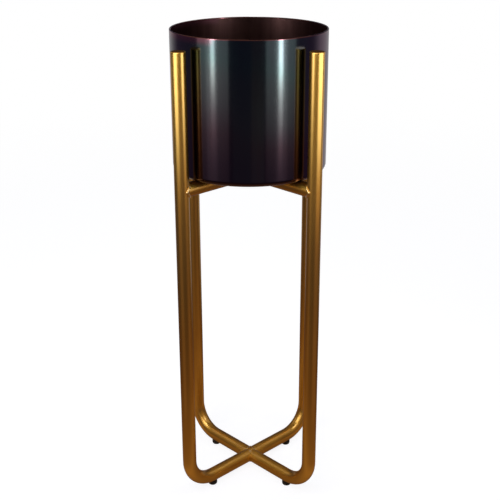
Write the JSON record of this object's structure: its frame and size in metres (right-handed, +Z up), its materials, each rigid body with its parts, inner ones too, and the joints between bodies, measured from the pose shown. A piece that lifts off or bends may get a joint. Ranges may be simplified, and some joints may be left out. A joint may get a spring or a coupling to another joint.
{
  "type": "plant stand",
  "caption": "Tall plant stand: bent metal tubes make the legs and a crossed base, and a cross of tube holds a loose round sheet-metal pot between the legs.",
  "frame": {"origin": "on the floor, on the stand's upright axis, midway between the four feet", "axes": "+Z up; -Y is the front; the legs stand on the two diagonals of X and Y"},
  "size_m": [0.204, 0.204, 0.6493],
  "materials": {
    "pot_enamel": "high gloss black with a thin iridescent sheen",
    "antique_gold": "semi-gloss antique gold metal",
    "foot_rubber": "matt",
    "weld_metal": "semi-gloss antique gold over a weld bead"
  },
  "bodies": {
    "stand": {"long_u_tube": "antique_gold", "front_right_j_tube": "antique_gold", "back_left_j_tube": "antique_gold", "long_cross_bar": "antique_gold", "front_right_cross_bar": "antique_gold", "back_left_cross_bar": "antique_gold", "cap_front_left": "antique_gold", "cap_front_right": "antique_gold", "cap_back_right": "antique_gold", "cap_back_left": "antique_gold", "foot_front_left": "foot_rubber", "foot_front_right": "foot_rubber", "foot_back_right": "foot_rubber", "foot_back_left": "foot_rubber", "base_weld_front_right": "weld_metal", "base_weld_back_left": "weld_metal", "leg_weld_front_left": "weld_metal", "leg_weld_front_right": "weld_metal", "leg_weld_back_right": "weld_metal", "leg_weld_back_left": "weld_metal", "hub_weld_front_right": "weld_metal", "hub_weld_back_left": "weld_metal"},
    "pot": {"pot": "pot_enamel"}
  },
  "joints": [
    {"name": "pot_lift", "type": "slide", "parent": "stand", "child": "pot", "axis": [0, 0, 1], "range_m": [0, 0.18]}
  ]
}
